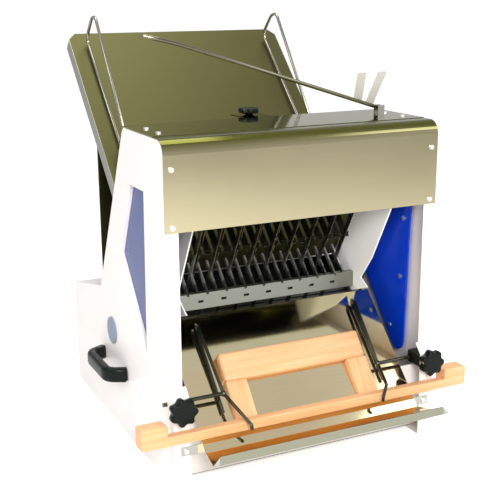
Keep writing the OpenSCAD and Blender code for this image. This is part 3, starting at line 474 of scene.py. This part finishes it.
def beech(name, light, dark, stretch):
    """Oiled beech with its grain along one direction."""
    mat, tree, shader, where = start_material(name)
    effect = dress(tree, shader, "Beech grain", {"Color": "Base Color"},
                   {"Vector": where, "Stretch": stretch, "Light": (*light, 1.0), "Dark": (*dark, 1.0)})
    relief(tree, shader, effect.outputs["Height"], WOOD_BUMP, WOOD_RELIEF)
    shader.inputs["Roughness"].default_value = WOOD_ROUGH
    return mat


def make_finishes(c):
    """Every finish, from the colour settings."""
    MATS.update({
        "cover": zoned_metal("Cover steel", c.cover, 0.12, (*COVER_BEND_DARK_REFLECTION, c.cover_bend_dark_reflection)),
        "chute": zoned_metal("Chute steel", c.chute, 0.42, (*CHUTE_RIM_HIGHLIGHT, c.chute_rim_highlight)),
        "slide": zoned_metal("Slide steel", c.tray_painted_reflection, 0.05, (*SLIDE_UPPER, c.slide), (*SLIDE_HEM_DARK_REFLECTION, c.hem_dark_reflection),
                             (*SLIDE_TABS, c.tab)),
        "comb": zoned_metal("Comb metal", c.comb, 0.3, (*COMB_FINGER_HIGHLIGHT, c.finger_highlight)),
        "guard": metal("Guard steel", c.chute, rough=0.3, spread=0.1),
        "top": metal("Top steel", c.top, rough=0.05, spread=0.04),
        "steel": metal("Plain steel", c.steel, rough=0.3, spread=0.1),
        "press": metal("Press metal and painted shade", c.press, rough=0.3, spread=0.1),
        "blade": metal("Blade steel", c.blade, rough=0.22, spread=0.08),
        "wire": metal("Bright wire", c.wire, rough=0.18, spread=0.05),
        "dark_wire": metal("Dark wire", c.dark_wire, rough=0.16, spread=0.05),
        "arm": metal("Arm rod", c.arm, rough=0.16, spread=0.05),
        "bolt": metal("Bolt steel", c.bolt, rough=0.35, spread=0.1),
        "fin": coat("Satin sheet", c.fin, rough=0.35, depth=0.93),
        "white": coat("White paint", c.white, rough=0.38, depth=0.97, bump=0.05),
        # Painted light: the cheeks get a brighter copy of the white paint.
        "cheek": coat("Cheek paint with painted light", c.cheek, rough=0.38, depth=0.99, bump=0.05),
        "inner_shaded": paint_with_inner_shade("Paint with painted inner shade", c.white, c.inner_shade, rough=0.38, depth=0.97, bump=0.05),
        "acrylic": coat("Blue acrylic", c.acrylic, rough=0.08, depth=0.99, alpha=0.95),
        "painted_reflection_acrylic": coat("Acrylic with painted reflection", c.painted_reflection_acrylic, rough=0.1, depth=0.97, alpha=0.9),
        "black": coat("Black plastic", c.black, rough=0.26, depth=0.8, bump=0.08, shine=0.16),
        "disc": coat("Disc plastic", c.disc, rough=0.4),
        "enamel": coat("Motor enamel", c.enamel, rough=0.35),
        "casting": coat("Casting", c.casting, rough=0.55, depth=0.85, bump=0.3),
        "rubber": coat("Rubber", c.rubber, rough=0.7),
        "green": coat("Green plastic", c.green, rough=0.35),
        "red": coat("Red plastic", c.red, rough=0.35),
        "beech_x": beech("Beech across", c.beech_light, c.beech_dark, (6.0, 110.0, 110.0)),
        "beech_s": beech("Beech along", c.beech_light, c.beech_dark, (110.0, 12.0, 12.0)),
    })


FINISH = {
    "white": ("lower_front_panel",),
    "cheek": ("left_cheek", "right_cheek"),
    "bolt": ("window_screws", "cover_screws"),
    # Painted shade: inside the base these panels are painted near black.
    "inner_shaded": ("left_side_panel", "right_side_panel", "rear_cover"),
    "cover": ("front_cover",),
    "top": ("top_plate",),
    "chute": ("infeed_chute",),
    "guard": ("rear_guard", "chute_brackets"),
    "slide": ("discharge_slide",),
    "acrylic": ("right_window",),
    # Painted reflection: the left window's acrylic is greyed.
    "painted_reflection_acrylic": ("left_window",),
    "steel": ("base_pan", "guide_cross_rod", "cheek_spacers", "frame_rods", "arm_bracket", "crankshaft",
              "motor_shaft", "rod_blocks", "comb_bushes", "front_links", "rear_links", "crank_pulley",
              "motor_pulley", "front_blade_frame", "rear_blade_frame"),
    "comb": ("lower_comb",),
    # Painted shade: the throat guard behind the comb's fingers wears the near-black press metal.
    "press": ("press_comb", "throat_guard"),
    "blade": ("front_blades", "rear_blades"),
    "wire": ("left_infeed_guide", "right_infeed_guide"),
    "dark_wire": ("left_discharge_guide", "right_discharge_guide"),
    "arm": ("hold_down_arm",),
    "black": ("left_handle", "right_handle", "left_star_knob", "right_star_knob", "guard_knob", "cable_gland",
              "switch_box", "clamp_blocks"),
    "disc": ("side_disc",),
    "enamel": ("motor_housing",),
    "casting": ("shaft_bearings", "motor_cradle"),
    "rubber": ("drive_belt",),
    "green": ("start_button",),
    "red": ("stop_button",),
    "beech_x": ("rest_bar", "rest_top_rail"),
    "beech_s": ("left_rest_rail", "right_rest_rail"),
}


def surface(name, grid, mat, body, nodes):
    """A grid of points, rows along u and columns round v, as a smooth mesh with a face on each end row.

    The sum of the triple products of each quad's first three corners from the middle tells which way the
    faces point; a negative one is turned round.
    """
    rows, cols = grid.shape[:2]
    points = grid.reshape(-1, 3)
    row = np.arange(rows - 1)[:, None] * cols
    a = row + np.arange(cols)[None, :]
    b = row + (np.arange(cols)[None, :] + 1) % cols
    quads = np.stack([a, b, b + cols, a + cols], -1).reshape(-1, 4)
    ends = [tuple(range(cols - 1, -1, -1)), tuple(range((rows - 1) * cols, rows * cols))]
    mesh = bpy.data.meshes.new(name)
    mesh.from_pydata(points.tolist(), [], [tuple(quad) for quad in quads.tolist()] + ends)
    mesh.polygons.foreach_set("use_smooth", np.r_[np.ones(len(quads), bool), np.zeros(len(ends), bool)])
    mesh.update()
    first, second, third = (points[quads[:, i]] - points.mean(0) for i in range(3))
    if np.einsum("ij,ij->", np.cross(first, second), third) < 0:
        mesh.flip_normals()
    obj = bpy.data.objects.new(name, mesh)
    bpy.context.scene.collection.objects.link(obj)
    mesh.materials.append(mat)
    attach(obj, body)
    if nodes:
        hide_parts(*nodes)
    return obj


def joined(name, parts, mat, body, nodes):
    """Several grids as one piece: the first stands for the nodes, and the others hang on it."""
    made = [surface(f"{name}_{i}", grid, mat, body, nodes if i == 0 else ())
            for i, grid in enumerate(parts)]
    for item in made[1:]:
        item.parent = made[0]
        item.matrix_parent_inverse = Matrix.Identity(4)


def softened(points, cut, n=10, most=0.46):
    """A polyline with every inner corner replaced by a parabola arc.

    The arc starts and ends the cut length from the corner, or at most that share of the shorter side.
    """
    p = np.asarray(points, float)
    a, b, c = p[:-2, None], p[1:-1, None], p[2:, None]
    before = np.linalg.norm(a - b, axis=2, keepdims=True)
    after = np.linalg.norm(c - b, axis=2, keepdims=True)
    k = np.minimum(cut, most * np.minimum(before, after))
    start, stop = b + (a - b) / before * k, b + (c - b) / after * k
    t = np.linspace(0, 1, n)[None, :, None]
    arcs = (1 - t) ** 2 * start + 2 * t * (1 - t) * b + t ** 2 * stop
    return np.concatenate([p[:1], arcs.reshape(-1, 3), p[-1:]])


def swept(path, radius, normal, n=20, tall=1.0, power=1.0):
    """A ring carried along a path.

    The ring is the radius times cosine along the normal, made tall times as long, and sine along the cross
    product of tangent and normal. Both keep their sign and are raised to the power, so a power under one
    squares the ring. The end rings shrink.
    """
    path = np.asarray(path, float)
    normal = np.asarray(normal, float)
    t = np.gradient(path, axis=0)
    t /= np.linalg.norm(t, axis=1, keepdims=True)
    ease = radius * EASE_ALONG
    path = np.concatenate([path[:1], path[:1] + t[:1] * ease, path[1:-1],
                           path[-1:] - t[-1:] * ease, path[-1:]])
    t = np.concatenate([t[:1], t, t[-1:]])
    side = normal[None] - t * (t @ normal)[:, None]
    side /= np.linalg.norm(side, axis=1, keepdims=True)
    up = np.cross(t, side)
    v = np.linspace(0, 2 * np.pi, n, endpoint=False)
    r = np.full(len(path), radius)
    r[[0, -1]] *= EASE_LEFT
    c, s = (np.sign(w) * np.abs(w) ** power for w in (np.cos(v), np.sin(v)))
    ring = tall * c[None, :, None] * side[:, None] + s[None, :, None] * up[:, None]
    return path[:, None] + r[:, None, None] * ring


def plank(a, b, wide, thick, width, depth, rounding, n=48):
    """A rectangle with round corners carried from a to b.

    A section point is the corner, drawn in by the rounding, plus the rounding times cosine and sine. The
    rounding shrinks to nothing over the rounding's length at each end.
    """
    a, b, wide, thick = (np.asarray(x, float) for x in (a, b, wide, thick))
    v = np.linspace(0, 2 * np.pi, n, endpoint=False) + np.pi / n
    ring = np.stack([np.cos(v), np.sin(v)], -1)
    corner = np.sign(ring) * (width / 2 - rounding, depth / 2 - rounding)
    span = np.linalg.norm(b - a)
    near = rounding * np.array([0.0, EASE_ALONG, 1.0])
    inset = rounding * np.array([0.0, EASE_LEFT, 1.0, 1.0, EASE_LEFT, 0.0])
    s = np.concatenate([near, span - near[::-1]])
    section = corner[None] + ring[None] * inset[:, None, None]
    return a + s[:, None, None] * (b - a) / span + section[..., :1] * wide + section[..., 1:] * thick


def lobed(centre, axis, side, radius, depth, lobes=7, swell=0.11, n=112):
    """A knob: the outline's radius times (1 + swell times its share times cos(lobes v)) round the axis."""
    centre, axis, side = (np.asarray(x, float) for x in (centre, axis, side))
    up = np.cross(axis, side)
    v = np.linspace(0, 2 * np.pi, n, endpoint=False)
    height, share, flare = KNOB_OUTLINE.T[:, :, None]
    r = radius / (1 + swell) * share * (1 + swell * flare * np.cos(lobes * v)[None])
    around = np.cos(v)[None, :, None] * side + np.sin(v)[None, :, None] * up
    return centre + (height * depth)[..., None] * axis + r[..., None] * around


def at(x, y, z):
    """A point of the layout, in millimetres from the front flange and the floor, in the frame."""
    return (x / MM, y / MM - Y_MID, z / MM)


def on_slope(foot, x, a, h):
    """A point x across, a up a slope from its foot and h off it."""
    y = foot[0] + (a - h) / MM * math.cos(SLOPE) - Y_MID
    return (x / MM, y, foot[1] + (a + h) / MM * math.sin(SLOPE))


def on_chute(x, a, h):
    """A point a along the chute and h above it."""
    return on_slope(CHUTE_FOOT, x, a, h)


class SLICER_OT_finishes(bpy.types.Operator):
    """Makes the finishes and puts them on the solids."""

    bl_idname = "slicer.finishes"
    bl_label = "Finishes"

    def execute(self, context):
        make_groups()
        make_finishes(context.scene.slicer_colours)
        for finish, nodes in FINISH.items():
            for node in nodes:
                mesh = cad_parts[node].data
                mesh.materials.clear()
                mesh.materials.append(MATS[finish])
        return {"FINISHED"}


class SLICER_OT_infeed_guides(bpy.types.Operator):
    """Draws the bent wire guides over the chute with foot plate, slider and pin."""

    bl_idname = "slicer.infeed_guides"
    bl_label = "Infeed guides"

    def execute(self, context):
        s = context.scene.slicer_sizes
        for sign, side in SIDES:
            x = GUIDE_X * sign
            path = softened([on_chute(x, a, h) for a, h in GUIDE_CORNERS], s.bend)
            wire = swept(path, s.wire / 2, ACROSS)
            foot = plank(*(on_chute(x, a, FOOT_H) for a in FOOT_ENDS), ACROSS, OFF_CHUTE, *FOOT_SECTION)
            slider = plank(*(on_chute(x, a, SLIDER_H) for a in SLIDER_ENDS), ACROSS, OFF_CHUTE,
                           *SLIDER_SECTION)
            pin = swept([on_chute(x, PIN_PLACE, h) for h in PIN_HEIGHTS], PIN_R, ACROSS)
            joined(f"{side}_infeed_wire", [wire, foot, slider, pin], MATS["wire"], f"{side}_inlet_guide",
                   (f"{side}_infeed_guide",))
        return {"FINISHED"}


class SLICER_OT_loaf_rest(bpy.types.Operator):
    """Draws the wooden bar with its end blocks and the leaning wooden frame with eased edges."""

    bl_idname = "slicer.loaf_rest"
    bl_label = "Loaf rest"

    def execute(self, context):
        s = context.scene.slicer_sizes
        lean = SLOPE + REST_TILT
        rise = (0, math.cos(lean), math.sin(lean))
        out = (0, -math.sin(lean), math.cos(lean))
        seat = np.array(on_slope(SLIDE_FOOT, 0, REST_SEAT, REST_LIFT))

        def spot(x, a):
            """A point in the middle of a rail, x across and a along the leaning frame."""
            step = x * np.array(ACROSS) + (a - REST_SEAT) * np.array(rise) + RAIL_H * np.array(out)
            return seat + step / MM

        rail = plank(spot(-TOP_RAIL_HALF, TOP_RAIL_PLACE), spot(TOP_RAIL_HALF, TOP_RAIL_PLACE), rise, out,
                     TOP_RAIL_W, s.wood, s.wood_round * TOP_RAIL_EASE)
        joined("rest_top", [rail], MATS["beech_x"], "machine", ("rest_top_rail",))
        for sign, side in SIDES:
            rail = plank(*(spot(SIDE_RAIL_X * sign, a) for a in SIDE_RAIL_ENDS), ACROSS, out,
                         SIDE_RAIL_W, s.wood, s.wood_round * THIN_EASE)
            joined(f"{side}_rest", [rail], MATS["beech_s"], "machine", (f"{side}_rest_rail",))
        bar = plank(at(-BAR_HALF, BAR_Y, BAR_Z), at(BAR_HALF, BAR_Y, BAR_Z), BACK, UP,
                    s.wood, s.wood, s.wood_round * THIN_EASE)
        blocks = [plank(*(at(x * sign, BLOCK_Y, BLOCK_Z) for x in BLOCK_ENDS), BACK, UP,
                        BLOCK_W, BLOCK_H, s.wood_round) for sign, _ in SIDES]
        joined("rest_beam", [bar, *blocks], MATS["beech_x"], "machine", ("rest_bar",))
        return {"FINISHED"}


class SLICER_OT_handles(bpy.types.Operator):
    """Draws the carrying handles on both sides."""

    bl_idname = "slicer.handles"
    bl_label = "Handles"

    def execute(self, context):
        s = context.scene.slicer_sizes
        for sign, side in SIDES:
            path = softened([at(x * sign, y, GRIP_Z) for x, y in GRIP_CORNERS], GRIP_BEND)
            grip = swept(path, s.grip / 2, UP, GRIP_POINTS, GRIP_TALL, GRIP_POWER)
            joined(f"{side}_grip", [grip], MATS["black"], "machine", (f"{side}_handle",))
        return {"FINISHED"}


class SLICER_OT_star_knobs(bpy.types.Operator):
    """Draws the lobed clamp knobs with collar and stud."""

    bl_idname = "slicer.star_knobs"
    bl_label = "Star knobs"

    def execute(self, context):
        s = context.scene.slicer_sizes
        for sign, side in SIDES:
            x = STAR_X * sign
            head = lobed(at(x, STAR_BACK, STAR_Z), (0, -1, 0), ACROSS, s.star / 2, s.star_depth)
            collar = swept([at(x, y, STAR_Z) for y in COLLAR_PLACES], COLLAR_R, ACROSS, TURNED_POINTS)
            stud = swept([at(x, y, STAR_Z) for y in STUD_PLACES], s.clamp / 2, ACROSS)
            joined(f"{side}_star", [head, collar, stud], MATS["black"], f"{side}_star",
                   (f"{side}_star_knob",))
        return {"FINISHED"}


class SLICER_OT_guard_knob(bpy.types.Operator):
    """Draws the lobed knob on the top plate with neck and stud."""

    bl_idname = "slicer.guard_knob"
    bl_label = "Guard knob"

    def execute(self, context):
        head = lobed(at(0, KNOB_Y, KNOB_BASE), UP, ACROSS, KNOB_R, KNOB_DEPTH)
        neck = swept([at(0, KNOB_Y, z) for z in NECK_HEIGHTS], NECK_R, ACROSS, TURNED_POINTS)
        stud = swept([at(0, KNOB_Y, z) for z in KNOB_STUD_HEIGHTS], KNOB_STUD_R, ACROSS)
        joined("top_knob", [head, neck, stud], MATS["black"], "rear_knob", ("guard_knob",))
        return {"FINISHED"}


class SLICER_OT_hold_down_arm(bpy.types.Operator):
    """Draws the hold-down rod with its hub and the two sheet fins."""

    bl_idname = "slicer.hold_down_arm"
    bl_label = "Hold-down arm"

    def execute(self, context):
        r = context.scene.slicer_sizes.arm / 2
        tilt, tip = math.radians(ROD_TILT), math.radians(ROD_TILT * TIP_SHARE)
        p = np.array(at(*ARM_PIVOT))
        far = p + ROD_LEN * np.array((-math.cos(tilt), 0, math.sin(tilt)))
        end = far + TIP_LEN * np.array((-math.cos(tip), 0, math.sin(tip)))
        rod = swept(softened([p, far, end], ROD_BEND), r, BACK)
        half = np.array((0, HUB_REACH, 0))
        hub = swept([p + half, p, p - half], r * HUB_SHARE, ACROSS, TURNED_POINTS)
        joined("hold_down_rod", [rod, hub], MATS["arm"], "arm", ("hold_down_arm",))
        fins = [plank(p + np.array((foot_x, 0, foot_z)) / MM, p + np.array((top_x, 0, FIN_TOP)) / MM,
                      ACROSS, BACK, *FIN_SECTION) for foot_x, foot_z, top_x in FIN_PLACES]
        joined("arm_fin", fins, MATS["fin"], "arm", ())
        return {"FINISHED"}


def by_ray(tree, strength):
    """A strength with one value for camera rays and another for all other rays."""
    ray = tree.nodes.new("ShaderNodeLightPath")
    return ranged(tree, ray.outputs["Is Camera Ray"], (0.0, 1.0), *strength)


def lay_floor(scene):
    """A square floor that glows a little to the camera alone."""
    mesh = bpy.data.meshes.new("Floor")
    corners = [(FLOOR_HALF * x, FLOOR_HALF * y, 0) for x, y in ((-1, -1), (1, -1), (1, 1), (-1, 1))]
    mesh.from_pydata(corners, [], [(0, 1, 2, 3)])
    floor = bpy.data.objects.new("Floor", mesh)
    scene.collection.objects.link(floor)
    mat, tree, shader, _ = start_material("Pale floor")
    shader.inputs["Base Color"].default_value = (*scene.slicer_colours.floor, 1.0)
    shader.inputs["Roughness"].default_value = FLOOR_ROUGH
    shader.inputs["Emission Color"].default_value = PLAIN_WHITE
    tree.links.new(by_ray(tree, FLOOR_GLOW), shader.inputs["Emission Strength"])
    mesh.materials.append(mat)


def light_stage(scene):
    """An even white world and four area lamps."""
    world = bpy.data.worlds.new("Studio")
    world.use_nodes = True
    tree = world.node_tree
    sky = tree.nodes["Background"]
    tree.links.new(by_ray(tree, SKY_STRENGTH), sky.inputs["Strength"])
    sky.inputs["Color"].default_value = PLAIN_WHITE
    scene.world = world
    for name, place, size, power in LAMPS:
        lamp = bpy.data.lights.new(name, "AREA")
        lamp.size = size
        lamp.energy = power
        holder = bpy.data.objects.new(name, lamp)
        holder.location = place
        holder.rotation_euler = (Vector(AIM) - Vector(place)).to_track_quat("-Z", "Y").to_euler()
        scene.collection.objects.link(holder)


def place_camera(scene):
    """The camera at its place, turned by yaw and pitch and then rolled about its own axis."""
    data = bpy.data.cameras.new("Camera")
    data.sensor_width = SENSOR
    data.lens = LENS
    camera = bpy.data.objects.new("Camera", data)
    yaw, pitch, roll = (math.radians(angle) for angle in CAMERA_ANGLES)
    ahead = Vector((math.sin(yaw) * math.cos(pitch), math.cos(yaw) * math.cos(pitch), -math.sin(pitch)))
    turn = ahead.to_track_quat("-Z", "Y").to_matrix().to_4x4() @ Matrix.Rotation(roll, 4, "Z")
    camera.matrix_world = Matrix.Translation(CAMERA_PLACE) @ turn
    scene.collection.objects.link(camera)
    scene.camera = camera


class SLICER_OT_stage(bpy.types.Operator):
    """Sets the pale floor, the soft lamps and the camera."""

    bl_idname = "slicer.stage"
    bl_label = "Stage"

    def execute(self, context):
        scene = context.scene
        lay_floor(scene)
        light_stage(scene)
        place_camera(scene)
        scene.view_settings.view_transform = "Standard"
        return {"FINISHED"}


class SLICER_PT_panel(bpy.types.Panel):
    """Sizes, colours and steps of the slicer."""

    bl_idname = "SLICER_PT_panel"
    bl_label = "Bread slicer"
    bl_space_type = "VIEW_3D"
    bl_region_type = "UI"
    bl_category = "Slicer"

    def draw(self, context):
        for group in (context.scene.slicer_sizes, context.scene.slicer_colours):
            for key in group.__annotations__:
                self.layout.prop(group, key)
        for step in STEPS:
            self.layout.operator(step.bl_idname)


STEPS = (SLICER_OT_finishes, SLICER_OT_infeed_guides, SLICER_OT_loaf_rest, SLICER_OT_handles,
         SLICER_OT_star_knobs, SLICER_OT_guard_knob, SLICER_OT_hold_down_arm, SLICER_OT_stage)
CLASSES = (SlicerSizes, SlicerColours, *STEPS, SLICER_PT_panel)


def register():
    """Registers the settings, the steps and the panel."""
    for item in CLASSES:
        bpy.utils.register_class(item)
    bpy.types.Scene.slicer_sizes = bpy.props.PointerProperty(type=SlicerSizes)
    bpy.types.Scene.slicer_colours = bpy.props.PointerProperty(type=SlicerColours)


def unregister():
    """Removes the settings, the steps and the panel."""
    del bpy.types.Scene.slicer_sizes
    del bpy.types.Scene.slicer_colours
    for item in reversed(CLASSES):
        bpy.utils.unregister_class(item)


def main():
    """Builds the looks step by step."""
    register()
    bpy.ops.slicer.finishes()
    bpy.ops.slicer.infeed_guides()
    bpy.ops.slicer.loaf_rest()
    bpy.ops.slicer.handles()
    bpy.ops.slicer.star_knobs()
    bpy.ops.slicer.guard_knob()
    bpy.ops.slicer.hold_down_arm()
    bpy.ops.slicer.stage()
    bpy.context.view_layer.update()


if __name__ == "__main__":
    main()
